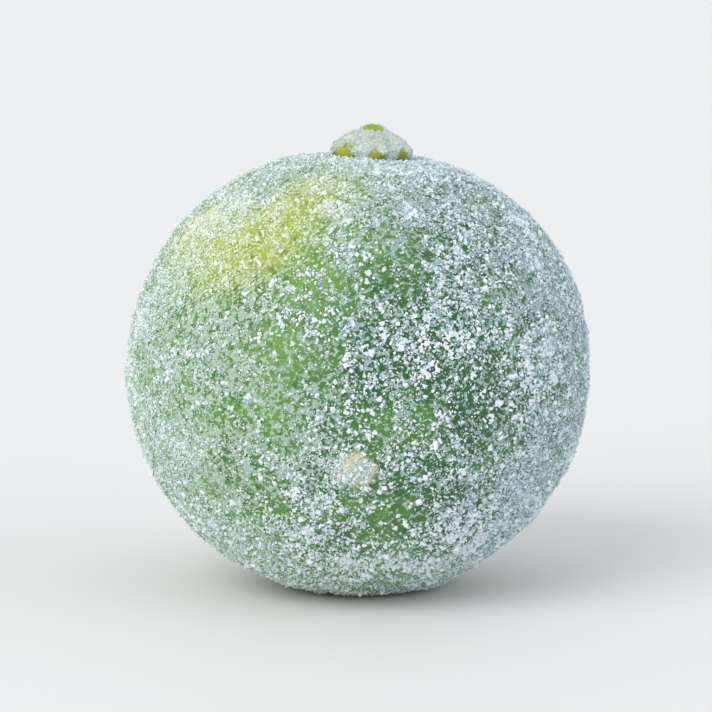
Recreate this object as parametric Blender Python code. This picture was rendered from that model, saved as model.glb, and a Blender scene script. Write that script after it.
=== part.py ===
"""A whole calamansi, frosted from the freezer, resting on its blossom end with its calyx button up.

Metres, +Z up. The origin is the middle of the small flat spot that the fruit rests on. The fruit's own frame
has its origin in the fruit's middle and its +Z out through the stem, and it leans a little towards +X.
"""

import math

import bmesh
import bpy
from mathutils import Matrix, Vector, noise

MM = 0.001

# Driving dimensions of the fruit, bare of frost
FRUIT_WIDTH = 35.8 * MM
POLE_TO_POLE = 34.5 * MM
REST_SPOT_RADIUS = 3.6 * MM
STEM_LEAN = math.radians(3.8)
# Exponents of the turned outline: 2 is an ellipse, and more is squarer, as the stem end's shoulders are
SHOULDER_EXPONENT = 2.14
BLOSSOM_EXPONENT = 1.98
# How far the girth departs from round: waves round the girth, share of the radius, azimuth of a crest
GIRTH_WAVES = ((1, 0.0020, 0.9), (2, 0.0055, 2.3), (3, 0.0040, 0.6), (5, 0.0014, 1.9))
SHOULDER_TILT = 0.0040
BASIN_DEPTH = 0.35 * MM
BASIN_RADIUS = 3.9 * MM

# Frost caked on the skin: clumps a few millimetres across, with lumps in them, worn off round the rest spot
RIME_DEPTH = 0.14 * MM
CLUMP_SPAN = 4.0 * MM
LUMP_SPAN = 2.4 * MM
LUMP_SHARE = 1.0
RIME_EDGE = (-0.30, 0.50)
CLUMP_SEED = Vector((11.3, 4.7, 8.9))
LUMP_SEED = Vector((2.6, 19.1, 5.4))
WORN_WIDTH = 3.0 * MM

# The calyx button: five thick sepals pressed on the fruit, round the cut stub of the stalk
SEPALS = 5
CALYX_RADIUS = 3.2 * MM
CALYX_GAP = 0.3 * MM
TIP_ROLL = 0.42 * MM
CROWN_HEIGHT = 1.6 * MM
CLEFT_DEPTH = 0.45 * MM
CLEFT_NOTCH = 0.19
CLEFT_SHARPNESS = 5.0
FIRST_CLEFT = math.radians(20.0)
STUB_RADIUS = 0.88 * MM
STUB_FOOT_RADIUS = 1.15 * MM
STUB_RISE = 0.26 * MM
STUB_BEVEL = 0.12 * MM
# Sepals are never all of one length: waves round the button, share of its radius, azimuth of a crest
SEPAL_WAVES = ((1, 0.015, 4.5), (2, 0.030, 1.6), (3, 0.015, 1.2))
# 1 makes a sepal's back a quarter of an ellipse, and 2 a straight slope
BACK_POWER = 1.4

FRUIT_COLUMNS = 96
FRUIT_RINGS = 48
CALYX_COLUMNS = 80
TIP_STEPS = 3
BACK_STEPS = 8

HALF_WIDTH = FRUIT_WIDTH / 2
HALF_HEIGHT = POLE_TO_POLE / 2
MEAN_RADIUS = (HALF_WIDTH + HALF_HEIGHT) / 2


def smooth_step(low, high, value):
    """0 below low, 1 above high, and an even S between them."""
    share = min(1.0, max(0.0, (value - low) / (high - low)))
    return share * share * (3 - 2 * share)


def waves_round(azimuth, waves):
    """The sum of cosine waves round an axis, each given as its count, its height and a crest's azimuth."""
    return sum(height * math.cos(count * (azimuth - crest)) for count, height, crest in waves)


def height_at(across, exponent):
    """How far above or below the middle the turned outline is, at this distance from the stem's axis."""
    return HALF_HEIGHT * (1 - (across / HALF_WIDTH) ** exponent) ** (1 / exponent)


def turned_reach(direction):
    """From the fruit's middle to the plain turned outline in this direction of the fruit's frame."""
    exponent = SHOULDER_EXPONENT if direction.z > 0 else BLOSSOM_EXPONENT
    across = math.hypot(direction.x, direction.y) / HALF_WIDTH
    along = abs(direction.z) / HALF_HEIGHT
    return (across**exponent + along**exponent) ** (-1 / exponent)


def unevenness(direction):
    """The share by which the grown fruit stands out from the turned outline in this direction."""
    azimuth = math.atan2(direction.y, direction.x)
    sine = math.hypot(direction.x, direction.y)
    girth = sine**2 * waves_round(azimuth, GIRTH_WAVES)
    return girth + 2 * SHOULDER_TILT * direction.x * direction.z


def rime_depth(direction):
    """The thickness of the caked frost in this direction, were it not worn or kept off."""
    clumps = noise.noise(direction * (MEAN_RADIUS / CLUMP_SPAN) + CLUMP_SEED)
    lumps = noise.noise(direction * (MEAN_RADIUS / LUMP_SPAN) + LUMP_SEED)
    return RIME_DEPTH * smooth_step(*RIME_EDGE, clumps + LUMP_SHARE * lumps)


def skin_point(direction, left=1.0):
    """A point of the frosted skin, in the fruit's frame. left is the share that wear leaves of its relief."""
    bare = turned_reach(direction) * (1 + unevenness(direction) * left)
    across = bare * math.hypot(direction.x, direction.y)
    rime = rime_depth(direction) * left * smooth_step(CALYX_RADIUS, CALYX_RADIUS + LUMP_SPAN / 2, across)
    point = direction * (bare + rime)
    if direction.z > 0:
        point.z -= BASIN_DEPTH * math.exp(-((across / BASIN_RADIUS) ** 2))
    return point


def skin_height(across, azimuth):
    """The skin's height near the stem, in the fruit's frame, at this distance from the stem's axis."""
    flat = Vector((across * math.cos(azimuth), across * math.sin(azimuth), 0))
    up = Vector((0, 0, height_at(across, SHOULDER_EXPONENT)))
    return skin_point((flat + up).normalized()).z


def closed_mesh(name, first, rings, last):
    """A closed mesh: a fan round the first point, the rings, all with as many points, and a last fan."""
    columns = len(rings[0])
    points = [first] + [point for ring in rings for point in ring] + [last]
    faces = []
    for column in range(columns):
        beside = (column + 1) % columns
        faces.append((0, 1 + column, 1 + beside))
        for ring in range(len(rings) - 1):
            here, there = 1 + ring * columns, 1 + (ring + 1) * columns
            faces.append((here + column, there + column, there + beside, here + beside))
        final = 1 + (len(rings) - 1) * columns
        faces.append((final + column, len(points) - 1, final + beside))
    mesh = bpy.data.meshes.new(name)
    mesh.from_pydata(points, [], faces)
    shape = bmesh.new()
    shape.from_mesh(mesh)
    bmesh.ops.recalc_face_normals(shape, faces=shape.faces)
    shape.to_mesh(mesh)
    shape.free()
    mesh.shade_smooth()
    mesh.set_sharp_from_angle(angle=math.radians(50))
    return mesh


def fruit_mesh(middle, lean):
    """The fruit from the pole under its button down to the rest spot, which is a flat round fan."""
    last_polar = math.pi - math.atan2(REST_SPOT_RADIUS, middle.z)
    rings = []
    for ring in range(1, FRUIT_RINGS + 1):
        polar = last_polar * ring / FRUIT_RINGS
        reach = MEAN_RADIUS * math.sin(polar)
        below = polar > math.pi / 2
        left = smooth_step(REST_SPOT_RADIUS, REST_SPOT_RADIUS + WORN_WIDTH, reach) if below else 1.0
        points = []
        for column in range(FRUIT_COLUMNS):
            azimuth = 2 * math.pi * column / FRUIT_COLUMNS
            level = Vector((math.cos(azimuth), math.sin(azimuth), 0))
            direction = level * math.sin(polar) + Vector((0, 0, math.cos(polar)))
            points.append(middle + lean @ skin_point(lean.inverted() @ direction, left))
            if ring == FRUIT_RINGS:
                points[-1] = level * REST_SPOT_RADIUS
        rings.append(points)
    pole = middle + lean @ skin_point(lean.inverted() @ Vector((0, 0, 1)))
    return closed_mesh("fruit", pole, rings, Vector((0, 0, 0)))


def cleft(azimuth):
    """1 along the clefts between the sepals, falling to 0 on their backs."""
    return abs(math.cos(SEPALS * (azimuth - FIRST_CLEFT) / 2)) ** CLEFT_SHARPNESS


def calyx_section(azimuth):
    """The button's outline in one half plane, from its underside, round a sepal's tip, to the stub's end."""
    parting = cleft(azimuth)
    tip = CALYX_RADIUS * (1 + waves_round(azimuth, SEPAL_WAVES)) * (1 - CLEFT_NOTCH * parting)
    inner = tip - TIP_ROLL
    section = [(across, skin_height(across, azimuth) + CALYX_GAP) for across in (inner / 3, inner * 2 / 3)]
    # The tip is rolled under: a quarter of a circle from the underside to the tip
    foot = skin_height(inner, azimuth) + CALYX_GAP
    for step in range(TIP_STEPS):
        turn = math.pi / 2 * step / TIP_STEPS
        section.append((inner + TIP_ROLL * math.sin(turn), foot + TIP_ROLL * (1 - math.cos(turn))))
    # The back rises from the tip to the stub's foot as a low cone with a rounded edge, and it dips along a cleft
    crown = skin_height(0, 0) + CALYX_GAP + CROWN_HEIGHT
    for step in range(BACK_STEPS + 1):
        turn = math.pi / 2 * step / BACK_STEPS
        across = STUB_FOOT_RADIUS + (tip - STUB_FOOT_RADIUS) * math.cos(turn) ** BACK_POWER
        height = foot + TIP_ROLL + (crown - foot - TIP_ROLL) * math.sin(turn) ** BACK_POWER
        section.append((across, height - CLEFT_DEPTH * parting * math.sin(2 * turn)))
    section.append((STUB_RADIUS, crown + STUB_RISE / 3))
    section.append((STUB_RADIUS, crown + STUB_RISE))
    section.append((STUB_RADIUS - STUB_BEVEL, crown + STUB_RISE + STUB_BEVEL))
    return section


def calyx_mesh():
    """The button: five sepals and the stub of the stalk, grown as one piece."""
    columns = []
    for column in range(CALYX_COLUMNS):
        azimuth = 2 * math.pi * column / CALYX_COLUMNS
        level = Vector((math.cos(azimuth), math.sin(azimuth), 0))
        columns.append([level * across + Vector((0, 0, z)) for across, z in calyx_section(azimuth)])
    under = Vector((0, 0, skin_height(0, 0) + CALYX_GAP))
    cut_end = Vector((0, 0, columns[0][-1].z))
    return closed_mesh("calyx", under, list(zip(*columns)), cut_end)


def add_piece(mesh, colour, roughness, parent=None):
    """Places a mesh in the scene as the piece of its own name, with a plain finish of its own."""
    material = bpy.data.materials.new("frosted_" + mesh.name)
    material.use_nodes = True
    shader = material.node_tree.nodes["Principled BSDF"]
    shader.inputs["Base Color"].default_value = (*colour, 1.0)
    shader.inputs["Roughness"].default_value = roughness
    shader.inputs["Metallic"].default_value = 0.0
    mesh.materials.append(material)
    piece = bpy.data.objects.new(mesh.name, mesh)
    piece.parent = parent
    bpy.context.scene.collection.objects.link(piece)


def main():
    for left_over in list(bpy.data.objects):
        bpy.data.objects.remove(left_over)
    middle = Vector((0, 0, height_at(REST_SPOT_RADIUS, BLOSSOM_EXPONENT)))
    lean = Matrix.Rotation(STEM_LEAN, 3, "Y")
    stem_axis = bpy.data.objects.new("stem_axis", None)
    stem_axis.location = middle
    stem_axis.rotation_euler = lean.to_euler()
    bpy.context.scene.collection.objects.link(stem_axis)
    add_piece(fruit_mesh(middle, lean), (0.27, 0.40, 0.28), 0.6)
    add_piece(calyx_mesh(), (0.50, 0.55, 0.28), 0.65, parent=stem_axis)


main()
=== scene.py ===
"""Dresses a frosted calamansi: its pitted peel, its calyx button, and the rime, flakes and grains of ice.

Run as a script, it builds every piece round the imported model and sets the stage. The operators are also
listed in the 3D view's sidebar, under Calamansi. Sizes are metres, +Z up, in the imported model's own frame.
Colours are linear red, green and blue.
"""

import math

import bmesh
import bpy
import numpy as np
from bpy.props import FloatProperty, FloatVectorProperty, IntProperty, PointerProperty
from mathutils import Euler, Matrix, Vector, noise
from mathutils.bvhtree import BVHTree


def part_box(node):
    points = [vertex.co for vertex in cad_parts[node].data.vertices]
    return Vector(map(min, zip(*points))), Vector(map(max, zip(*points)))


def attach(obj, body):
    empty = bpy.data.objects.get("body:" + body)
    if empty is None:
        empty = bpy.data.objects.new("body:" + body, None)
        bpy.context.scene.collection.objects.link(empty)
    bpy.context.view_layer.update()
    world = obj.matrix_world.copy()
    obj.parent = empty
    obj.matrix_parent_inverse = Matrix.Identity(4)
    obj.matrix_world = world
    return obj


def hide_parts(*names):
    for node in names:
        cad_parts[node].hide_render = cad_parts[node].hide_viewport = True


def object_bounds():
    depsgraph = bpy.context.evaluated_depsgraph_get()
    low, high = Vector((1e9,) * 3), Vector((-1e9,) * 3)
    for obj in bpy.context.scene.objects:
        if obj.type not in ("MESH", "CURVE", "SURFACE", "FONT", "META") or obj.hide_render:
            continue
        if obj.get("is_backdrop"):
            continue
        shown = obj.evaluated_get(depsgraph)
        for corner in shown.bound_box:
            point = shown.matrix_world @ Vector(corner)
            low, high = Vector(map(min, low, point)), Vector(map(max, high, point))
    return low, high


bl_info = {
    "name": "Frosted Calamansi",
    "version": (1, 0, 0),
    "blender": (4, 5, 0),
    "location": "3D View > Sidebar > Calamansi",
    "description": "Builds the peel, calyx button and ice of a frozen calamansi, and a plain stage",
    "category": "Object",
}

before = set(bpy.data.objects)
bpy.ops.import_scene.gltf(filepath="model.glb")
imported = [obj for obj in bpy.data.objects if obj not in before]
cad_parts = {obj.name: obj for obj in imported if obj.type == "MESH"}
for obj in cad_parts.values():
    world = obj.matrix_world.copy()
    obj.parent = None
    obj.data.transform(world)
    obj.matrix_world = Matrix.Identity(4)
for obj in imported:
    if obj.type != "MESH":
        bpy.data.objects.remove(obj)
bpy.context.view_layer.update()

MM = 0.001
FRUIT_LOW, FRUIT_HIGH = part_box("fruit")
CALYX_LOW, CALYX_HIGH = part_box("calyx")
MIDDLE = Vector((0, 0, (FRUIT_LOW.z + FRUIT_HIGH.z) / 2))
MEAN_RADIUS = (FRUIT_HIGH.x - FRUIT_LOW.x + FRUIT_HIGH.z - FRUIT_LOW.z) / 4

# The fruit's own axis runs from its middle out through the stem, and leans a little towards +X
CALYX_MIDDLE = (CALYX_LOW + CALYX_HIGH) / 2
STEM_LEAN = math.atan2(CALYX_MIDDLE.x, CALYX_MIDDLE.z - MIDDLE.z)
LEAN = Matrix.Rotation(STEM_LEAN, 3, "Y")

# The button's sepals: the first cleft, how far a cleft cuts in, how deep and narrow it is, and the waves that
# make some sepals longer, each as its count round the button, its share of the radius and a crest's azimuth
FIRST_CLEFT = math.radians(20)
CLEFT_NOTCH = 0.13
CLEFT_DEPTH = 0.32 * MM
CLEFT_SHARPNESS = 4
SEPAL_WAVES = ((1, 0.015, 4.5), (2, 0.030, 1.6), (3, 0.015, 1.2))
KNUCKLE_HEIGHT = 0.07 * MM
TIP_ROLL = 0.42 * MM
# 1 makes a sepal's back a quarter of an ellipse, and 2 a straight slope
BACK_POWER = 1.55
# The stub of the stalk: its foot's radius against its own, how high it rises, its bevel, how its cut end
# slants and is hollowed, and the shares of its radius where the hollow's rings, the rim and the core lie
STUB_FLARE = 1.3
STUB_RISE = 0.26 * MM
STUB_BEVEL = 0.14 * MM
STUB_SLANT = 0.36
STUB_HOLLOW = 0.05 * MM
HOLLOW_RINGS = (0.66, 0.4, 0.2)
CUT_RIM = (0.8, 1.05)
CUT_BLEND = 0.1 * MM
CORE_RIM = (0.2, 0.45)
# How deep the button is pressed into the peel, and how high its wrinkles and its frost stand
SUNK = 0.08 * MM
WRINKLE = 0.05 * MM
CALYX_CRUST = 0.12 * MM
# Where frost has left the sepals bare: the azimuth, the share of the button's radius, the height above the
# peel, the width and how bare
BARE_SPOTS = (
    (221, 1.0, 0.4 * MM, 0.95 * MM, 1.0),
    (277, 1.0, 0.4 * MM, 0.7 * MM, 1.0),
    (321, 1.0, 0.4 * MM, 0.75 * MM, 1.0),
    (330, 0.75, 1.1 * MM, 0.7 * MM, 0.2),
    (28, 1.0, 0.4 * MM, 0.8 * MM, 1.0),
    (95, 1.0, 0.4 * MM, 0.6 * MM, 1.0),
    (150, 1.0, 0.4 * MM, 0.9 * MM, 1.0),
)
CALYX_COLUMNS = 180
ROLL_STEPS = 8
BACK_STEPS = 22
STUB_STEPS = 6

# Colours of the peel in its pits, where it is freshest and in its scar, and of the frost where it is a smooth
# film and where the peel under it is ripe
PIT_GREEN = (0.010, 0.060, 0.006)
FRESH_GREEN = (0.14, 0.34, 0.016)
CREAM = (0.68, 0.66, 0.40)
PALE_HAZE = (0.58, 0.69, 0.45)
RIPE_HAZE = (0.54, 0.64, 0.22)
RIPE_ICE = (0.76, 0.84, 0.50)
# Colours of the button: its flecks, its greener patches, the stalk's core, and its rime, thick and thin
SEPAL_BROWN = (0.24, 0.22, 0.04)
SEPAL_LEAF = (0.20, 0.34, 0.02)
STALK_CORE = (0.30, 0.26, 0.08)
CALYX_RIME = (0.68, 0.75, 0.78)
CALYX_RIME_THIN = (0.50, 0.58, 0.42)

# Shapes of ice, each as its corners, in any length, and its triangles
SPLINTER = ((1, 1, 1), (1, -1, -1), (-1, 1, -1), (-1, -1, 1)), ((0, 1, 2), (0, 3, 1), (0, 2, 3), (1, 3, 2))
GRAIN = (
    ((1, 0, 0), (0, 1, 0), (-1, 0, 0), (0, -1, 0), (0, 0, 1), (0, 0, -1)),
    ((0, 1, 4), (1, 2, 4), (2, 3, 4), (3, 0, 4), (1, 0, 5), (2, 1, 5), (3, 2, 5), (0, 3, 5)),
)
CRUMB = (
    ((1, 1, 1), (1, 1, -1), (1, -1, 1), (1, -1, -1), (-1, 1, 1), (-1, 1, -1), (-1, -1, 1), (-1, -1, -1)),
    ((0, 2, 3), (0, 3, 1), (4, 5, 7), (4, 7, 6), (0, 1, 5), (0, 5, 4),
     (2, 6, 7), (2, 7, 3), (0, 4, 6), (0, 6, 2), (1, 3, 7), (1, 7, 5)),
)

# The photograph looks at the fruit from the front, a little from above
VIEW_ELEVATION = math.radians(8)


def seen_at(across, up):
    """The direction from the fruit's middle to the skin seen this far right of it and above it."""
    right = Vector((1, 0, 0))
    above = Vector((0, math.sin(VIEW_ELEVATION), math.cos(VIEW_ELEVATION)))
    towards = Vector((0, -math.cos(VIEW_ELEVATION), math.sin(VIEW_ELEVATION)))
    depth = math.sqrt(max(0.0, MEAN_RADIUS**2 - across**2 - up**2))
    return (right * across + above * up + towards * depth).normalized()


def heading(azimuth, elevation):
    """The direction at this azimuth, anticlockwise from +X, and this elevation, both in degrees."""
    return Euler((0, -math.radians(elevation), math.radians(azimuth))).to_matrix() @ Vector((1, 0, 0))


def spots_seen(*rows):
    """Soft round spots on the side that the photograph shows, each as its direction, width and amount.

    A row is how far right of the fruit's middle a spot is seen, how far above it and how wide it is, all in
    millimetres, and then its amount.
    """
    return tuple((seen_at(across * MM, up * MM), width * MM, amount) for across, up, width, amount in rows)


# Where the frost is caked, and where it is worn thin. The amount is how much thicker the crust is
CAKES = spots_seen(
    (-0.6, -6.9, 1.2, 1.0), (-17.9, -0.4, 0.9, 2.2), (-9.7, 3.4, 0.6, 0.7), (6.4, -16.6, 1.2, 2.8),
    (6.8, 3.4, 2.2, 0.5), (3.2, -2.6, 0.9, 0.8), (8.0, -12.6, 2.2, 0.6), (-4.4, -11.8, 2.2, 0.4),
    (-12.0, -5.0, 3.0, 0.15), (3.4, 15.4, 2.2, 0.7), (-1.0, 15.2, 1.6, 0.5), (1.2, 5.0, 1.2, 0.3),
    (-6.0, 1.8, 2.1, -1.0), (-4.0, 0.4, 3.6, -0.5), (-5.5, 8.4, 2.4, -0.5), (-9.6, 12.0, 2.8, 1.3),
    (3.0, 6.4, 2.0, -0.9), (0.0, 6.4, 1.7, -0.5), (3.0, 2.6, 1.6, 0.5), (0.2, -3.0, 1.6, -1.6),
    (0.0, 12.4, 2.2, 0.6), (2.0, 14.6, 2.5, 0.3), (-14.0, 7.0, 3.2, 0.5), (9.0, -3.0, 2.0, -1.1),
    (-10.5, -6.2, 2.2, -0.4), (5.4, -9.4, 1.8, -0.4), (12.6, -0.4, 1.8, 0.35), (5.0, -3.2, 1.8, -0.3),
    (3.0, -8.8, 1.6, -1.1), (9.4, -0.6, 2.4, -0.35), (11.0, -9.0, 2.8, 0.75), (13.5, 1.5, 2.6, 0.35),
    (-6.0, -3.2, 1.8, -0.85), (-3.0, -3.2, 1.5, 0.2), (-9.0, -3.0, 1.6, -0.4), (3.0, -3.6, 1.5, -0.5),
    (6.0, 3.0, 1.6, -0.4), (2.4, -10.8, 1.7, -1.4), (0.5, -14.6, 2.0, 0.5), (12.5, 9.0, 2.0, 0.35),
    (-9.4, -12.0, 2.2, 0.5), (3.0, 9.2, 2.2, -0.75), (-3.0, 8.2, 2.2, -0.2), (6.5, 9.0, 1.6, -0.35),
    (6.2, 6.2, 1.4, 0.4), (0.0, 0.4, 1.6, 0.2), (-3.2, 0.4, 1.5, -0.4), (6.2, 0.0, 1.5, -0.4),
    (5.4, -6.0, 1.4, -0.3), (11.0, 6.4, 1.8, -0.4), (-9.0, 0.3, 1.7, 0.2), (-12.0, 3.0, 1.8, -0.4),
    (9.0, 12.2, 2.0, -0.45), (-3.0, 3.0, 1.5, 0.3), (-3.0, -9.0, 1.5, 0.3), (0.0, -9.4, 1.4, -0.6),
    (-2.0, 9.6, 1.8, 0.35), (-6.0, -9.4, 1.8, -0.55), (-15.5, 4.0, 2.4, 0.5), (-7.8, 9.2, 2.0, -0.5),
)
# Where the frost is coarse and broken, rather than a smooth film. The last four are on sides that don't show
COARSE_SPOTS = (
    *spots_seen(
        (6.0, 1.0, 12.0, 1.0), (5.0, -13.0, 6.0, 1.0), (-4.0, -12.0, 4.5, 0.7), (12.0, 5.5, 3.0, -0.45),
        (3.0, 9.0, 4.0, -0.4), (-9.0, -9.0, 3.0, -0.3), (12.5, -8.5, 3.5, -0.4), (-4.5, -4.0, 3.4, -0.25),
        (-6.0, 0.4, 2.6, -0.35), (-3.0, 4.4, 2.4, 0.35),
    ),
    (heading(70, 5), 11.0 * MM, 0.9),
    (heading(150, 30), 8.0 * MM, 0.7),
    (heading(165, -35), 8.0 * MM, 0.8),
    (heading(20, -40), 7.0 * MM, 0.5),
)
# Where the shoulder has begun to ripen
RIPE_SPOTS = spots_seen(
    (-12.6, 10.0, 3.6, 0.55), (-10.8, 8.0, 3.4, 0.5), (-7.2, 9.4, 4.2, 0.7), (-4.6, 11.2, 3.6, 0.45),
    (-2.4, 13.8, 3.6, 0.55), (-11.4, 11.6, 3.0, 0.35),
)
# Where the bare peel is the freshest green
FRESH_SPOTS = spots_seen(
    (-5.8, 1.8, 2.8, 0.85), (-3.2, 6.6, 2.2, 0.6), (0.0, 10.0, 5.0, 0.7), (-7.0, -3.0, 2.5, 0.4),
)
# The side that is frosted the most, where the peel and ice get painted cool shade, darker and bluer
FROSTY_SHADED_SIDE = seen_at(14.0 * MM, 4.0 * MM)
# The pale scar on the front
SCAR = seen_at(-0.25 * MM, -6.95 * MM)

# The crust on the peel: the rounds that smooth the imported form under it, the spans and seeds of its broad,
# middling and fine lumps, where it starts and is whole, and how much higher it stands where it is caked
SMOOTHING_ROUNDS = 6
CRUST_LUMPS = ((5 * MM, 1), (1.5 * MM, 2), (0.65 * MM, 3))
CRUST_EDGE = (-0.7, 0.8)
CAKE_RISE = 0.4
# Where an oil pit's floor and slope end, in spans from its middle, and the share that whole frost fills
PIT_EDGE = (0.12, 0.42)
PIT_FILL = 0.6
# The heights above the floor between which the crust, and then the ice, come to their full strength
CRUST_FADE = (0.02 * MM, 0.6 * MM)
ICE_FADE = (0.05 * MM, 0.5 * MM)

# A bit of ice: how far its corners stand out, how much it is stretched each way, both as the least and the
# most, and the share of its size that its middle keeps from the floor
RAGGED = (0.65, 1.15)
STRETCH = (0.45, 1.45)
CLEARANCE = 0.75
# The least and the most size of a bit of ice against its coat's: the even draw, then the lopsided ones
EVEN_SIZES = (0.6, 1.4)
GRAIN_SIZES = (0.5, 1.7)
CRUMB_SIZES = (0.45, 1.7)
# What gathers ice: the wider lumps' span against the finer ones', their share, and the pull of caked frost
FAR_SPAN = 3.7
FAR_SHARE = 0.6
CAKE_PULL = 0.7

FLOOR_HALF = 3.0
# Each light's name, where it comes from, its strength, its spread in degrees and its colour
LIGHTS = (
    ("key", (-0.52, -0.6, 0.55), 1.5, 45, (1.0, 0.99, 0.96)),
    ("fill", (0.85, -0.4, 0.3), 0.5, 60, (0.86, 0.93, 1.0)),
)
SURROUND_COLOUR = (0.95, 0.98, 1.0, 1.0)
SURROUND_STRENGTH = 0.72


class PeelSettings(bpy.types.PropertyGroup):
    """The peel's own sizes and colours, under the frost."""

    cuts: IntProperty(name="Cuts", description="Cuts across each of the six patches", default=123, min=8)
    pit_spacing: FloatProperty(
        name="Pit Spacing",
        description="From one oil pit of the peel to the next",
        default=0.95 * MM,
        unit="LENGTH",
        precision=5,
    )
    pit_depth: FloatProperty(
        name="Pit Depth", description="Depth of an oil pit", default=0.07 * MM, unit="LENGTH", precision=5
    )
    crust_height: FloatProperty(
        name="Crust Height",
        description="How high the frost crust stands on the peel",
        default=0.11 * MM,
        unit="LENGTH",
        precision=5,
    )
    leaf_green: FloatVectorProperty(
        name="Leaf Green",
        description="Colour of the lighter bare peel",
        default=(0.085, 0.275, 0.012),
        subtype="COLOR",
        size=3,
    )
    deep_green: FloatVectorProperty(
        name="Deep Green",
        description="Colour of the darker bare peel",
        default=(0.012, 0.100, 0.012),
        subtype="COLOR",
        size=3,
    )
    ripe_yellow: FloatVectorProperty(
        name="Ripe Yellow",
        description="Colour of the shoulder that has begun to ripen",
        default=(0.37, 0.46, 0.015),
        subtype="COLOR",
        size=3,
    )


class FrostSettings(bpy.types.PropertyGroup):
    """The ice on the fruit: how much there is, how coarse it is and its colours."""

    seed: IntProperty(name="Seed", description="Start of the random draws", default=7)
    dust_count: IntProperty(name="Dust", description="Splinters of fine rime", default=49000, min=0)
    dust_size: FloatProperty(
        name="Dust Size", description="Length of a splinter", default=0.17 * MM, unit="LENGTH", precision=5
    )
    flake_count: IntProperty(name="Flakes", description="Flakes of hoarfrost", default=48000, min=0)
    flake_size: FloatProperty(
        name="Flake Size", description="Width of a flake", default=0.24 * MM, unit="LENGTH", precision=5
    )
    grain_count: IntProperty(name="Grains", description="Grains of ice", default=20000, min=0)
    grain_size: FloatProperty(
        name="Grain Size", description="Width of a grain", default=0.24 * MM, unit="LENGTH", precision=5
    )
    crumb_count: IntProperty(name="Crumbs", description="Crumbs of caked ice", default=6000, min=0)
    crumb_size: FloatProperty(
        name="Crumb Size", description="Width of a crumb", default=0.34 * MM, unit="LENGTH", precision=5
    )
    white: FloatVectorProperty(
        name="White",
        description="Colour of dry ice grains",
        default=(0.87, 0.90, 0.925),
        subtype="COLOR",
        size=3,
    )
    haze: FloatVectorProperty(
        name="Haze",
        description="Colour of the thin rime between the grains",
        default=(0.34, 0.475, 0.42),
        subtype="COLOR",
        size=3,
    )
    # Painted cool shade: the bluer, darker rime towards the frostier side
    cool_shade_haze: FloatVectorProperty(
        name="Cold Haze",
        description="Colour of the thin rime on the side that is frosted the most",
        default=(0.32, 0.44, 0.45),
        subtype="COLOR",
        size=3,
    )


class CalyxSettings(bpy.types.PropertyGroup):
    """The calyx button at the stem."""

    sepals: IntProperty(name="Sepals", description="Lobes round the button", default=5, min=3)
    radius: FloatProperty(
        name="Radius",
        description="From the middle to a sepal's tip",
        default=3.1 * MM, unit="LENGTH", precision=5,
    )
    thickness: FloatProperty(
        name="Thickness", description="How thick a tip is", default=0.65 * MM, unit="LENGTH", precision=5
    )
    crown: FloatProperty(
        name="Crown",
        description="How high the stalk's foot stands",
        default=1.92 * MM, unit="LENGTH", precision=5,
    )
    stub_radius: FloatProperty(
        name="Stub Radius",
        description="Radius of the cut stalk",
        default=0.9 * MM, unit="LENGTH", precision=5,
    )
    sepal_green: FloatVectorProperty(
        name="Sepal Green",
        description="Colour of the sepals",
        default=(0.47, 0.46, 0.012), subtype="COLOR", size=3,
    )
    cut_end: FloatVectorProperty(
        name="Cut End",
        description="Colour of the stalk's cut end",
        default=(0.27, 0.40, 0.02),
        subtype="COLOR",
        size=3,
    )
    grain_count: IntProperty(name="Grains", description="Grains of ice on the button", default=2200, min=0)
    grain_size: FloatProperty(
        name="Grain Size", description="Width of a grain", default=0.2 * MM, unit="LENGTH", precision=5
    )


class StageSettings(bpy.types.PropertyGroup):
    """The floor, the light and the camera."""

    floor: FloatVectorProperty(
        name="Floor", description="Colour of the floor", default=(0.88, 0.88, 0.88), subtype="COLOR", size=3
    )
    share: FloatProperty(
        name="Share",
        description="Share of the picture's width that the fruit fills",
        default=0.66, subtype="FACTOR",
    )
    lens: FloatProperty(name="Lens", description="Focal length in millimetres", default=180.0)


class Wire:
    """A shader socket that takes part in Python expressions, each of which adds its Math node."""

    def __init__(self, shader, socket):
        self.shader = shader
        self.socket = socket

    def __add__(self, other):
        return self.shader.math("ADD", self, other)

    def __sub__(self, other):
        return self.shader.math("SUBTRACT", self, other)

    def __rsub__(self, other):
        return self.shader.math("SUBTRACT", other, self)

    def __mul__(self, other):
        return self.shader.math("MULTIPLY", self, other)


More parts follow.
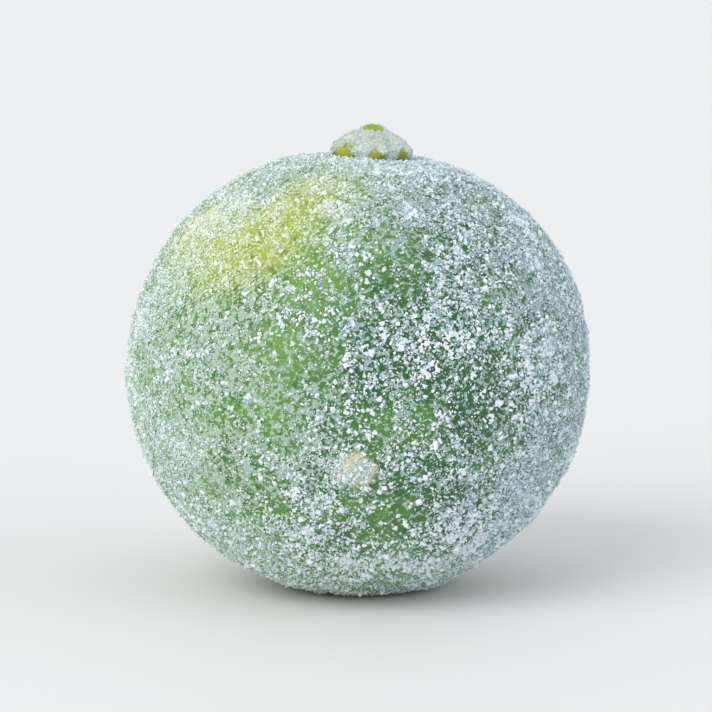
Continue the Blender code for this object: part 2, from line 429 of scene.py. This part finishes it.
class Shader:
    """A material of one Principled BSDF, with methods that add the nodes in front of it."""

    def __init__(self, name, constants):
        self.material = bpy.data.materials.new(name)
        self.material.use_nodes = True
        self.tree = self.material.node_tree
        self.surface = self.tree.nodes["Principled BSDF"]
        for socket, value in constants.items():
            self.surface.inputs[socket].default_value = value
        self.place = self.node("ShaderNodeTexCoord", output="Object")

    def node(self, kind, settings=None, sockets=None, output=0):
        """Adds a node with its settings and its sockets' values or wires, and gives one of its outputs."""
        node = self.tree.nodes.new(kind)
        for name, value in (settings or {}).items():
            setattr(node, name, value)
        for name, value in (sockets or {}).items():
            if isinstance(value, Wire):
                self.tree.links.new(value.socket, node.inputs[name])
            else:
                node.inputs[name].default_value = value
        return Wire(self, node.outputs[output])

    def math(self, operation, *values):
        return self.node("ShaderNodeMath", {"operation": operation}, dict(enumerate(values)))

    def mix(self, share, low, high):
        """A colour from low to high."""
        colours = {0: share, 6: opaque(low), 7: opaque(high)}
        return self.node("ShaderNodeMix", {"data_type": "RGBA"}, colours, 2)

    def ramp(self, value, low, high, least=0.0, most=1.0):
        """least where the value is under low, most above high, and an even S between them."""
        sockets = {"Value": value, 1: low, 2: high, 3: least, 4: most}
        return self.node("ShaderNodeMapRange", {"interpolation_type": "SMOOTHSTEP"}, sockets)

    def noise(self, span, detail=2.0, roughness=0.5):
        """Soft noise whose lumps are about a span apart."""
        sockets = {"Vector": self.place, "Scale": 1 / span, "Detail": detail, "Roughness": roughness}
        return self.node("ShaderNodeTexNoise", None, sockets)

    def attribute(self, name):
        return self.node("ShaderNodeAttribute", {"attribute_name": name}, None, "Fac")

    def facing(self, direction):
        """1 on the skin that lies in this direction from the fruit's middle, and -1 on its far side."""
        out = self.node("ShaderNodeVectorMath", {"operation": "SUBTRACT"}, {0: self.place, 1: MIDDLE})
        out = self.node("ShaderNodeVectorMath", {"operation": "NORMALIZE"}, {0: out})
        sockets = {0: out, 1: direction}
        return self.node("ShaderNodeVectorMath", {"operation": "DOT_PRODUCT"}, sockets, "Value")

    def feed(self, wires):
        """Links wires to the Principled BSDF's sockets."""
        for socket, wire in wires.items():
            self.tree.links.new(wire.socket, self.surface.inputs[socket])

    def bump(self, height, distance, strength=1.0):
        sockets = {"Height": height, "Distance": distance, "Strength": strength}
        return self.node("ShaderNodeBump", None, sockets)


def opaque(colour):
    """A colour's four channels. A wire passes as it is."""
    return colour if isinstance(colour, Wire) else (*colour, 1.0)


def smooth_step(low, high, value):
    """0 below low, 1 above high, and an even S between them, for numbers and arrays alike."""
    share = np.clip((value - low) / (high - low), 0.0, 1.0)
    return share * share * (3 - 2 * share)


def noise_at(points, span, seed):
    """Soft noise from about -1 to 1 at each point, whose lumps are about a span apart and lie askew."""
    askew = Euler((0.6 + seed, 0.9 + 2 * seed, 0.4 + 3 * seed)).to_matrix() * (1 / span)
    shift = Vector((seed * 7.31, seed * 3.17, seed * 5.73))
    return np.array([noise.noise(askew @ Vector(point) + shift) for point in points])


def nearest_cell(points, span):
    """How far each point is from the middle of its cell, in spans, with cells about a span apart."""
    return np.array([noise.voronoi(Vector(point) / span)[0][0] for point in points])


def new_piece(mesh, material, slot, *nodes):
    """Adds a mesh as the piece of its own name, on the fruit's body, for the nodes it stands for."""
    piece = bpy.data.objects.new(mesh.name, mesh)
    piece.data.materials.append(material)
    bpy.context.scene.collection.objects.link(piece)
    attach(piece, "root")
    if nodes:
        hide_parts(*nodes)
    return piece


def positions(mesh):
    """A mesh's vertices as an array."""
    flat = np.empty(len(mesh.vertices) * 3)
    mesh.vertices.foreach_get("co", flat)
    return flat.reshape(-1, 3)


def set_attribute(mesh, name, values):
    """Stores a number for each vertex, which a material reads by its name."""
    mesh.attributes.new(name, "FLOAT", "POINT").data.foreach_set("value", values.astype(np.float32))


def get_attribute(mesh, name):
    values = np.empty(len(mesh.vertices), np.float32)
    mesh.attributes[name].data.foreach_get("value", values)
    return values


def unit_ball(cuts):
    """A ball of even square faces: a cut cube whose faces are swelled by angle."""
    ball = bmesh.new()
    bmesh.ops.create_cube(ball, size=2)
    bmesh.ops.subdivide_edges(ball, edges=ball.edges[:], cuts=cuts, use_grid_fill=True)
    for vertex in ball.verts:
        vertex.co = Vector(math.tan(part * math.pi / 4) for part in vertex.co).normalized()
    mesh = bpy.data.meshes.new("peel")
    ball.to_mesh(mesh)
    ball.free()
    return mesh


def solid_reach(directions, node):
    """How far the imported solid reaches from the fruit's middle in each direction."""
    tree = BVHTree.FromObject(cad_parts[node], bpy.context.evaluated_depsgraph_get())
    return np.array([tree.ray_cast(MIDDLE, Vector(direction))[3] for direction in directions])


def relaxed(mesh, values, rounds):
    """Values at a mesh's vertices, each drawn halfway to its neighbours' average, this many times."""
    ends = np.empty(len(mesh.edges) * 2, int)
    mesh.edges.foreach_get("vertices", ends)
    first, second = ends.reshape(-1, 2).T
    size = len(values)
    neighbours = np.bincount(first, minlength=size) + np.bincount(second, minlength=size)
    for _ in range(rounds):
        total = np.bincount(first, values[second], size) + np.bincount(second, values[first], size)
        values = (values + total / neighbours) / 2
    return values


def directions_of(points):
    """The direction of each point from the fruit's middle."""
    out = points - np.array(MIDDLE)
    return out / np.linalg.norm(out, axis=1)[:, None]


def sum_of(spots, directions):
    """What soft round spots add up to in each direction. Each is a direction, a width and an amount."""
    total = np.zeros(len(directions))
    for direction, width, amount in spots:
        apart = np.linalg.norm(directions - np.array(direction), axis=1) * MEAN_RADIUS
        total += amount * np.exp(-((apart / width) ** 2))
    return total


def coarseness(directions):
    """1 where the frost is coarse and broken, and 0 where it is a smooth film."""
    return sum_of(COARSE_SPOTS, directions).clip(0, 1)


def mark_spots(mesh):
    """Stores how coarse the frost is at each vertex, and how ripe the peel is there, for the materials."""
    directions = directions_of(positions(mesh))
    set_attribute(mesh, "coarse", coarseness(directions))
    set_attribute(mesh, "ripe", sum_of(RIPE_SPOTS, directions).clip(0, 1))


def build_peel(settings):
    """The peel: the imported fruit's form, with oil pits and a crust of frost raised on it."""
    mesh = unit_ball(settings.cuts)
    directions = positions(mesh)
    reach = relaxed(mesh, solid_reach(directions, "fruit"), SMOOTHING_ROUNDS)
    skin = directions * reach[:, None]
    cake = sum_of(CAKES, directions)
    broad, lumps, fine = (noise_at(skin, span, seed) for span, seed in CRUST_LUMPS)
    frost = smooth_step(*CRUST_EDGE, 0.3 * broad + 0.5 * lumps + 0.6 * fine + 0.6 * cake)
    pits = 1 - smooth_step(*PIT_EDGE, nearest_cell(skin, settings.pit_spacing))
    lift = settings.crust_height * (frost + CAKE_RISE * cake.clip(0))
    lift = lift - settings.pit_depth * pits * (1 - PIT_FILL * frost)
    lift *= smooth_step(*CRUST_FADE, MIDDLE.z + skin[:, 2])
    skin += directions * lift[:, None] + np.array(MIDDLE)
    skin[:, 2] = np.maximum(skin[:, 2], 0)
    mesh.vertices.foreach_set("co", skin.ravel())
    set_attribute(mesh, "frost", frost)
    set_attribute(mesh, "pits", pits)
    set_attribute(mesh, "fresh", sum_of(FRESH_SPOTS, directions).clip(0, 1))
    mark_spots(mesh)
    mesh.shade_smooth()
    mesh.update()
    return mesh


def peel_finish(settings, frost):
    """Green peel that ripens to yellow on one shoulder, under a broken film of rime."""
    look = Shader("frosted_peel", {"IOR": 1.45, "Sheen Weight": 0.2, "Sheen Roughness": 0.6})
    frosty_cool_shade = look.facing(FROSTY_SHADED_SIDE)
    coarse, ripe, fresh = (look.attribute(name) for name in ("coarse", "ripe", "fresh"))
    # Painted shade: the bare peel's green is darker towards the frostier side
    shade = look.ramp((look.noise(5 * MM, 3) - 0.5) * 1.6 - frosty_cool_shade * 0.5 + 0.12, -0.35, 0.35)
    skin = look.mix(shade, settings.deep_green, settings.leaf_green)
    blotches = (look.noise(1.2 * MM, 4, 0.65) - 0.5) * 0.5
    skin = look.mix(look.ramp(ripe + blotches * 1.4, 0.1, 0.9, 0, 0.9), skin, settings.ripe_yellow)
    scar = look.ramp(look.facing(SCAR) + blotches * 0.02, 0.9955, 0.9985)
    skin = look.mix(look.ramp(fresh + blotches, 0.0, 0.9, 0, 0.8), skin, FRESH_GREEN)
    skin = look.mix(look.attribute("pits") * 0.6, skin, PIT_GREEN)
    skin = look.mix(scar, skin, CREAM)
    # Frost covers the crust and the frostier side, and leaves the pits, the scar and the fresh and ripe peel
    # barer
    grit = (look.noise(0.34 * MM, 3, 0.6) - 0.5) * (coarse * 3.2 + 2.2)
    cover = look.attribute("frost") * 0.4 + grit + frosty_cool_shade * 0.1 - look.attribute("pits") * 0.2 - scar * 0.2
    cover = cover + 0.36 - coarse * 0.34 - fresh * 0.1 - ripe * 0.06
    cover = look.ramp(cover, 0.2, 0.6, 0.0, 0.84)
    haze = look.mix((1 - coarse) * 0.4, frost.haze, PALE_HAZE)
    # Painted cool shade: the thin rime is bluer and darker towards the frostier side
    haze = look.mix(look.ramp(frosty_cool_shade, -0.2, 0.9), haze, frost.cool_shade_haze)
    haze = look.mix(ripe, haze, RIPE_HAZE)
    specks = look.ramp(look.noise(0.13 * MM, 2, 0.7), 0.5, 0.66) * (coarse * 0.25 + 0.35)
    haze = look.mix(specks, haze, frost.white)
    look.feed({"Base Color": look.mix(cover, skin, haze)})
    look.feed({"Roughness": look.ramp(cover, 0.1, 0.7, 0.42, 0.75)})
    look.feed({"Normal": look.bump(look.noise(0.16 * MM, 2) + cover, 0.04 * MM, 0.8)})
    return look.material


def ice_finish(name, colour, warm, frosty_cool_shade):
    """Bits of ice: nearly white, but duller in patches, greener ones and, on the frostier side, bluer painted
    shade.
    """
    look = Shader(name, {"IOR": 1.31})
    side = look.ramp(look.facing(FROSTY_SHADED_SIDE), -0.2, 0.9)
    warm, frosty_cool_shade = ([part * tint for part, tint in zip(colour, shade)] for shade in (warm, frosty_cool_shade))
    thin = look.mix(look.attribute("ripe") * 0.8, look.mix(side, warm, frosty_cool_shade), RIPE_ICE)
    patches = look.ramp(look.noise(0.9 * MM, 2), 0.35, 0.65)
    look.feed({"Base Color": look.mix(patches * (look.attribute("coarse") * 0.5 + 0.5), thin, colour)})
    look.feed({"Roughness": look.ramp(patches, 0, 1, 0.55, 0.35)})
    return look.material


def closed_mesh(name, first, rings, last):
    """A closed mesh: a fan round the first point, the rings, all with as many points, and a last fan."""
    columns = len(rings[0])
    points = [first, *(point for ring in rings for point in ring), last]
    faces = []
    for column in range(columns):
        beside = (column + 1) % columns
        faces.append((0, 1 + beside, 1 + column))
        for row in range(len(rings) - 1):
            here, there = 1 + row * columns, 1 + (row + 1) * columns
            faces.append((here + column, here + beside, there + beside, there + column))
        final = 1 + (len(rings) - 1) * columns
        faces.append((final + column, final + beside, len(points) - 1))
    mesh = bpy.data.meshes.new(name)
    mesh.from_pydata(points, [], faces)
    mesh.shade_smooth()
    return mesh


def skin_under(tree, across, azimuth):
    """The height of the peel near the stem, along the fruit's own axis."""
    outside = Vector((across * math.cos(azimuth), across * math.sin(azimuth), 2 * MEAN_RADIUS))
    hit = tree.ray_cast(MIDDLE + LEAN @ outside, LEAN @ Vector((0, 0, -1)))[0]
    return (LEAN.inverted() @ (hit - MIDDLE)).z


def calyx_section(settings, tree, azimuth):
    """The button's outline in a half plane, from its underside round a sepal's tip to the stalk's cut end."""
    parting = abs(math.cos(settings.sepals * (azimuth - FIRST_CLEFT) / 2)) ** CLEFT_SHARPNESS
    longer = sum(height * math.cos(count * (azimuth - crest)) for count, height, crest in SEPAL_WAVES)
    tip = settings.radius * (1 + longer) * (1 - CLEFT_NOTCH * parting)
    inner = tip - TIP_ROLL
    under, foot = skin_under(tree, inner / 2, azimuth), skin_under(tree, inner, azimuth)
    crown = skin_under(tree, 0, 0) + settings.crown
    section = [(inner / 2, under - SUNK), (inner, foot - SUNK)]
    for step in range(1, ROLL_STEPS):
        turn = math.pi / 2 * step / ROLL_STEPS
        height = foot - SUNK + (settings.thickness + SUNK) * (1 - math.cos(turn))
        section.append((inner + TIP_ROLL * math.sin(turn), height))
    stub_foot = settings.stub_radius * STUB_FLARE
    for step in range(BACK_STEPS + 1):
        turn = math.pi / 2 * step / BACK_STEPS
        rise = (crown - foot - settings.thickness) * math.sin(turn) ** BACK_POWER
        height = foot + settings.thickness + rise
        height += math.sin(2 * turn) * (KNUCKLE_HEIGHT * (1 - parting) ** 2 - CLEFT_DEPTH * parting)
        section.append((stub_foot + (tip - stub_foot) * math.cos(turn) ** BACK_POWER, height))
    slant = STUB_SLANT * math.sin(azimuth)
    for step in range(STUB_STEPS + 1):
        turn = math.pi / 2 * step / STUB_STEPS
        across = settings.stub_radius - STUB_BEVEL * (1 - math.cos(turn))
        section.append((across, crown + (STUB_RISE + slant * across) * math.sin(turn)))
    for across in (settings.stub_radius * share for share in HOLLOW_RINGS):
        section.append((across, crown + STUB_RISE + slant * across - STUB_HOLLOW))
    return section


def build_calyx(settings, peel):
    """The button: sepals pressed on the peel, wrinkled and crusted with frost, round the stalk's cut stub."""
    tree = BVHTree.FromPolygons([v.co for v in peel.vertices], [p.vertices for p in peel.polygons])
    columns = []
    for column in range(CALYX_COLUMNS):
        azimuth = 2 * math.pi * column / CALYX_COLUMNS
        level = Vector((math.cos(azimuth), math.sin(azimuth), 0))
        section = calyx_section(settings, tree, azimuth)
        columns.append([MIDDLE + LEAN @ (level * across + Vector((0, 0, z))) for across, z in section])
    rings = list(zip(*columns))
    under, cut_end = (sum(ring, Vector()) / CALYX_COLUMNS for ring in (rings[0], rings[-1]))
    mesh = closed_mesh("calyx_button", under, rings, cut_end)
    points = positions(mesh)
    normals = np.array([vertex.normal[:] for vertex in mesh.vertices])
    stem = np.array(LEAN @ Vector((0, 0, 1)))
    height = (points - np.array(MIDDLE)) @ stem - skin_under(tree, 0, 0)
    across = np.linalg.norm(points - np.array(under) - height[:, None] * stem, axis=1)
    cut = smooth_step(settings.crown - CUT_BLEND, settings.crown + CUT_BLEND, height)
    cut *= 1 - smooth_step(*CUT_RIM, across / settings.stub_radius)
    lumps, fine = noise_at(points, 0.9 * MM, 31), noise_at(points, 0.35 * MM, 32)
    bare = np.zeros(len(points))
    for degrees, out, above, width, share in BARE_SPOTS:
        azimuth, away = math.radians(degrees), out * settings.radius
        level = away * math.cos(azimuth), away * math.sin(azimuth)
        place = MIDDLE + LEAN @ Vector((*level, skin_under(tree, away, azimuth) + above))
        bare += share * np.exp(-((np.linalg.norm(points - np.array(place), axis=1) / width) ** 2))
    rise = smooth_step(-0.3 * MM, 0.6 * MM, height)
    frost = smooth_step(-0.3, 0.4, 0.6 * lumps + 0.4 * fine + rise - 1.6 * bare - 1.5 * cut)
    points += normals * (WRINKLE * (lumps + fine) + CALYX_CRUST * frost)[:, None]
    mesh.vertices.foreach_set("co", points.ravel())
    set_attribute(mesh, "frost", frost)
    set_attribute(mesh, "cut", cut)
    set_attribute(mesh, "core", cut * (1 - smooth_step(*CORE_RIM, across / settings.stub_radius)))
    mesh.update()
    return mesh


def calyx_finish(settings, frost):
    """Olive sepals with brown flecks and a paler cut stalk, under thick pale rime."""
    look = Shader("frosted_calyx", {"IOR": 1.4, "Specular IOR Level": 0.25})
    flecks = look.ramp(look.noise(0.4 * MM, 4, 0.7), 0.52, 0.72, 0, 0.6)
    skin = look.mix(look.ramp(look.noise(1.6 * MM, 2), 0.45, 0.6, 0, 0.8), settings.sepal_green, SEPAL_LEAF)
    skin = look.mix(flecks, skin, SEPAL_BROWN)
    skin = look.mix(look.attribute("cut"), skin, settings.cut_end)
    skin = look.mix(look.attribute("core") * 0.7, skin, STALK_CORE)
    cover = look.attribute("frost") + (look.noise(0.25 * MM, 3, 0.7) - 0.5) * 1.8
    cover = look.ramp(cover, 0.1, 0.9, 0.03, 0.9)
    rime = look.mix(look.ramp(look.noise(0.3 * MM, 2, 0.7), 0.4, 0.6), CALYX_RIME, CALYX_RIME_THIN)
    look.feed({"Base Color": look.mix(cover, skin, rime)})
    look.feed({"Roughness": look.ramp(cover, 0, 1, 0.5, 0.7)})
    look.feed({"Normal": look.bump(look.noise(0.1 * MM, 2) + cover, 0.03 * MM, 0.7)})
    return look.material


def draw_places(mesh, weights, count, draws):
    """Random places on a mesh and their normals, denser where its vertices' weights are high."""
    mesh.calc_loop_triangles()
    corners = np.empty(len(mesh.loop_triangles) * 3, int)
    mesh.loop_triangles.foreach_get("vertices", corners)
    corners = corners.reshape(-1, 3)
    first, second, third = positions(mesh)[corners].transpose(1, 0, 2)
    spread = np.cross(second - first, third - first)
    area = np.linalg.norm(spread, axis=1)
    chance = area * weights[corners].mean(1)
    chosen = draws.choice(len(corners), count, p=chance / chance.sum())
    along, over = draws.random((2, count, 1))
    past = along + over > 1
    along, over = np.where(past, 1 - along, along), np.where(past, 1 - over, over)
    places = first[chosen] + (second - first)[chosen] * along + (third - first)[chosen] * over
    return places, spread[chosen] / area[chosen][:, None]


def random_turns(count, draws):
    """Turn matrices, spread evenly over all turns."""
    four = draws.normal(size=(4, count))
    w, x, y, z = four / np.linalg.norm(four, axis=0)
    return np.array(
        [
            [1 - 2 * (y * y + z * z), 2 * (x * y - z * w), 2 * (x * z + y * w)],
            [2 * (x * y + z * w), 1 - 2 * (x * x + z * z), 2 * (y * z - x * w)],
            [2 * (x * z - y * w), 2 * (y * z + x * w), 1 - 2 * (x * x + y * y)],
        ]
    ).transpose(2, 0, 1)


def ice_mesh(name, places, normals, sizes, crystal, draws, lift=(0.0, 0.35)):
    """One mesh of many bits of ice, each a ragged copy of a crystal sunk a little in what it lies on."""
    corners, faces = (np.array(part) for part in crystal)
    corners = corners / np.linalg.norm(corners, axis=1)[:, None]
    count = len(places)
    ragged = draws.uniform(*RAGGED, (count, len(corners), 1))
    stretch = draws.uniform(*STRETCH, (count, 1, 3))
    shapes = corners * ragged * stretch * (sizes / 2)[:, None, None]
    shapes = np.einsum("nij,nkj->nki", random_turns(count, draws), shapes)
    middles = places + normals * (sizes * draws.uniform(*lift, count))[:, None]
    middles[:, 2] = np.maximum(middles[:, 2], sizes * CLEARANCE)
    points = (shapes + middles[:, None, :]).reshape(-1, 3)
    loops = (faces + np.arange(count)[:, None, None] * len(corners)).reshape(-1, 3)
    mesh = bpy.data.meshes.new(name)
    mesh.from_pydata(points, [], loops)
    mark_spots(mesh)
    lay_apart(mesh, count, len(corners))
    return mesh


def lay_apart(mesh, count, corners):
    """A UV map with a square for each bit of ice, its corners in a ring, so that a bake keeps its colour."""
    across = math.ceil(math.sqrt(count))
    around = 2 * np.pi * np.arange(corners) / corners
    rim = 0.5 + 0.48 * np.stack([np.cos(around), np.sin(around)], 1)
    squares = np.stack([np.arange(count) % across, np.arange(count) // across], 1)
    laid = ((squares[:, None] + rim) / across).reshape(-1, 2)
    vertices = np.empty(len(mesh.loops), int)
    mesh.loops.foreach_get("vertex_index", vertices)
    layer = mesh.uv_layers.new(name="OFBake", do_init=False)
    layer.uv.foreach_set("vector", laid[vertices].astype(np.float32).ravel())


def clumping(peel, span, seed, sharpness, side, coarse):
    """How strongly ice gathers at each vertex of the peel.

    side draws it to the frostier side, and coarse to coarse frost.
    """
    points = positions(peel)
    near, far = noise_at(points, span, seed), noise_at(points, span * FAR_SPAN, seed + 1)
    directions = directions_of(points)
    pull = sharpness * (near + FAR_SHARE * far) + side * directions @ np.array(FROSTY_SHADED_SIDE)
    pull += CAKE_PULL * sum_of(CAKES, directions) + coarse * coarseness(directions)
    return np.exp(pull) * smooth_step(*ICE_FADE, points[:, 2])


def dust_mesh(peel, settings, draws):
    """Fine rime over all of the peel."""
    weights = (0.4 + get_attribute(peel, "frost")) * clumping(peel, 0.55 * MM, 41, 1.0, -0.2, -0.8)
    places, normals = draw_places(peel, weights, settings.dust_count, draws)
    sizes = settings.dust_size * draws.uniform(*EVEN_SIZES, settings.dust_count)
    return ice_mesh("rime_dust", places, normals, sizes, SPLINTER, draws)


def flake_mesh(peel, settings, draws):
    """Flakes of hoarfrost that leave small holes between them."""
    weights = (0.05 + get_attribute(peel, "frost")) * clumping(peel, 0.55 * MM, 51, 3.0, 0.0, -0.2)
    places, normals = draw_places(peel, weights, settings.flake_count, draws)
    sizes = settings.flake_size * draws.uniform(*EVEN_SIZES, settings.flake_count)
    return ice_mesh("hoar_flakes", places, normals, sizes, SPLINTER, draws)


def grain_mesh(peel, settings, draws):
    """Grains of ice that gather in the crust."""
    weights = (0.05 + get_attribute(peel, "frost") ** 2) * clumping(peel, 0.7 * MM, 11, 3.0, 0.2, 0.4)
    places, normals = draw_places(peel, weights, settings.grain_count, draws)
    sizes = settings.grain_size * draws.lognormal(0, 0.28, settings.grain_count).clip(*GRAIN_SIZES)
    return ice_mesh("ice_grains", places, normals, sizes, GRAIN, draws)


def crumb_mesh(peel, settings, draws):
    """Crumbs of ice caked in clumps."""
    weights = clumping(peel, 1.0 * MM, 21, 3.4, 0.3, 1.3)
    places, normals = draw_places(peel, weights, settings.crumb_count, draws)
    sizes = settings.crumb_size * draws.lognormal(0, 0.3, settings.crumb_count).clip(*CRUMB_SIZES)
    return ice_mesh("ice_crumbs", places, normals, sizes, CRUMB, draws, (-0.1, 0.2))


# Each coat of ice, and the share of white's red, green and blue that its duller patches keep, first on the
# warm side and then on the frostier one, where the bluer share is painted cool shade
# Painted cool shade: the bluer share of white that the crumbs and the button's ice keep on the frostier side
COOL_SHADE_TINT = (0.86, 0.92, 0.96)
COATS = (
    (dust_mesh, (0.62, 0.78, 0.67), (0.56, 0.68, 0.73)),
    (flake_mesh, (0.72, 0.84, 0.77), (0.63, 0.75, 0.80)),
    (grain_mesh, (0.82, 0.91, 0.88), (0.76, 0.85, 0.90)),
    (crumb_mesh, (0.93, 0.96, 0.93), COOL_SHADE_TINT),
)


class CALAMANSI_OT_peel(bpy.types.Operator):
    """Build the pitted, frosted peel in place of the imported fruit"""

    bl_idname = "calamansi.peel"
    bl_label = "Peel"

    def execute(self, context):
        settings = context.scene.calamansi_peel
        finish = peel_finish(settings, context.scene.calamansi_frost)
        new_piece(build_peel(settings), finish, "frosted_peel", "fruit")
        return {"FINISHED"}


class CALAMANSI_OT_calyx(bpy.types.Operator):
    """Build the calyx button on the peel, with its own coat of ice"""

    bl_idname = "calamansi.calyx"
    bl_label = "Calyx"

    def execute(self, context):
        settings, frost = context.scene.calamansi_calyx, context.scene.calamansi_frost
        button = build_calyx(settings, bpy.data.objects["peel"].data)
        new_piece(button, calyx_finish(settings, frost), "frosted_calyx", "calyx")
        draws = np.random.default_rng(frost.seed + 1)
        weights = get_attribute(button, "frost") ** 2
        places, normals = draw_places(button, weights, settings.grain_count, draws)
        sizes = settings.grain_size * draws.lognormal(0, 0.3, settings.grain_count).clip(*GRAIN_SIZES)
        ice = ice_mesh("calyx_ice", places, normals, sizes, GRAIN, draws, (-0.15, 0.2))
        white = [0.80 * part for part in frost.white]
        # Painted cool shade: the button's ice turns bluer towards the frostier side
        new_piece(ice, ice_finish("calyx_ice", white, (0.74, 0.84, 0.72), COOL_SHADE_TINT), "frosted_calyx")
        return {"FINISHED"}


class CALAMANSI_OT_frost(bpy.types.Operator):
    """Scatter dust, flakes, grains and crumbs of ice over the peel"""

    bl_idname = "calamansi.frost"
    bl_label = "Frost"

    def execute(self, context):
        settings = context.scene.calamansi_frost
        peel = bpy.data.objects["peel"].data
        draws = np.random.default_rng(settings.seed)
        for build, warm, frosty_cool_shade in COATS:
            mesh = build(peel, settings, draws)
            new_piece(mesh, ice_finish(mesh.name, settings.white, warm, frosty_cool_shade), "frosted_peel")
        return {"FINISHED"}


class CALAMANSI_OT_stage(bpy.types.Operator):
    """Set a plain pale floor, soft studio light and the camera"""

    bl_idname = "calamansi.stage"
    bl_label = "Stage"

    def execute(self, context):
        settings = context.scene.calamansi_stage
        build_floor(settings)
        build_lights()
        build_camera(settings)
        return {"FINISHED"}


def build_floor(settings):
    """A wide pale floor that the fruit rests on."""
    mesh = bpy.data.meshes.new("floor")
    corners = [(x * FLOOR_HALF, y * FLOOR_HALF, 0) for x, y in ((-1, -1), (1, -1), (1, 1), (-1, 1))]
    mesh.from_pydata(corners, [], [(0, 1, 2, 3)])
    look = Shader("floor", {"Roughness": 0.6})
    mottle = look.noise(0.4, 2)
    look.feed({"Base Color": look.mix(mottle, [0.98 * part for part in settings.floor], settings.floor)})
    floor = bpy.data.objects.new("floor", mesh)
    floor.data.materials.append(look.material)
    bpy.context.scene.collection.objects.link(floor)
    floor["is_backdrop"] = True


def add_light(name, towards, strength, spread, colour):
    """Soft light that comes from one side, evenly over the whole floor."""
    light = bpy.data.lights.new(name, "SUN")
    light.energy = strength
    light.angle = math.radians(spread)
    light.color = colour
    lamp = bpy.data.objects.new(name, light)
    lamp.rotation_euler = Vector(towards).to_track_quat("Z", "Y").to_euler()
    lamp.location = Vector(towards) * 0.5
    bpy.context.scene.collection.objects.link(lamp)


def build_lights():
    """A large soft key from the upper left, a cool fill from the right, and a pale surround."""
    for light in LIGHTS:
        add_light(*light)
    world = bpy.data.worlds.new("surround")
    world.use_nodes = True
    background = world.node_tree.nodes["Background"]
    background.inputs["Color"].default_value = SURROUND_COLOUR
    background.inputs["Strength"].default_value = SURROUND_STRENGTH
    bpy.context.scene.world = world
    bpy.context.scene.view_settings.view_transform = "Standard"


def build_camera(settings):
    """The camera at the photograph's viewing angle, square on to the fruit's front."""
    low, high = (Vector(corner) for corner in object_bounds())
    middle = (low + high) / 2
    camera = bpy.data.cameras.new("camera")
    camera.lens = settings.lens
    picture_width = (high.x - low.x) / settings.share
    distance = picture_width * camera.lens / camera.sensor_width
    towards = Vector((0, -math.cos(VIEW_ELEVATION), math.sin(VIEW_ELEVATION)))
    holder = bpy.data.objects.new("camera", camera)
    holder.location = middle + towards * distance
    holder.rotation_euler = (math.pi / 2 - VIEW_ELEVATION, 0, 0)
    bpy.context.scene.collection.objects.link(holder)
    bpy.context.scene.camera = holder


class CALAMANSI_PT_sidebar(bpy.types.Panel):
    """The builders and their settings"""

    bl_idname = "CALAMANSI_PT_sidebar"
    bl_label = "Calamansi"
    bl_space_type = "VIEW_3D"
    bl_region_type = "UI"
    bl_category = "Calamansi"

    def draw(self, context):
        for operator, settings in STEPS:
            box = self.layout.box()
            box.operator(operator)
            group = getattr(context.scene, settings)
            for name in group.__annotations__:
                box.prop(group, name)


STEPS = (
    ("calamansi.peel", "calamansi_peel"),
    ("calamansi.calyx", "calamansi_calyx"),
    ("calamansi.frost", "calamansi_frost"),
    ("calamansi.stage", "calamansi_stage"),
)
SETTINGS = {
    "calamansi_peel": PeelSettings,
    "calamansi_frost": FrostSettings,
    "calamansi_calyx": CalyxSettings,
    "calamansi_stage": StageSettings,
}
CLASSES = (
    *SETTINGS.values(),
    CALAMANSI_OT_peel,
    CALAMANSI_OT_calyx,
    CALAMANSI_OT_frost,
    CALAMANSI_OT_stage,
    CALAMANSI_PT_sidebar,
)


def register():
    for entry in CLASSES:
        bpy.utils.register_class(entry)
    for name, group in SETTINGS.items():
        setattr(bpy.types.Scene, name, PointerProperty(type=group))


def unregister():
    for name in SETTINGS:
        delattr(bpy.types.Scene, name)
    for entry in reversed(CLASSES):
        bpy.utils.unregister_class(entry)


def main():
    register()
    bpy.ops.calamansi.peel()
    bpy.ops.calamansi.calyx()
    bpy.ops.calamansi.frost()
    bpy.ops.calamansi.stage()


if __name__ == "__main__":
    main()
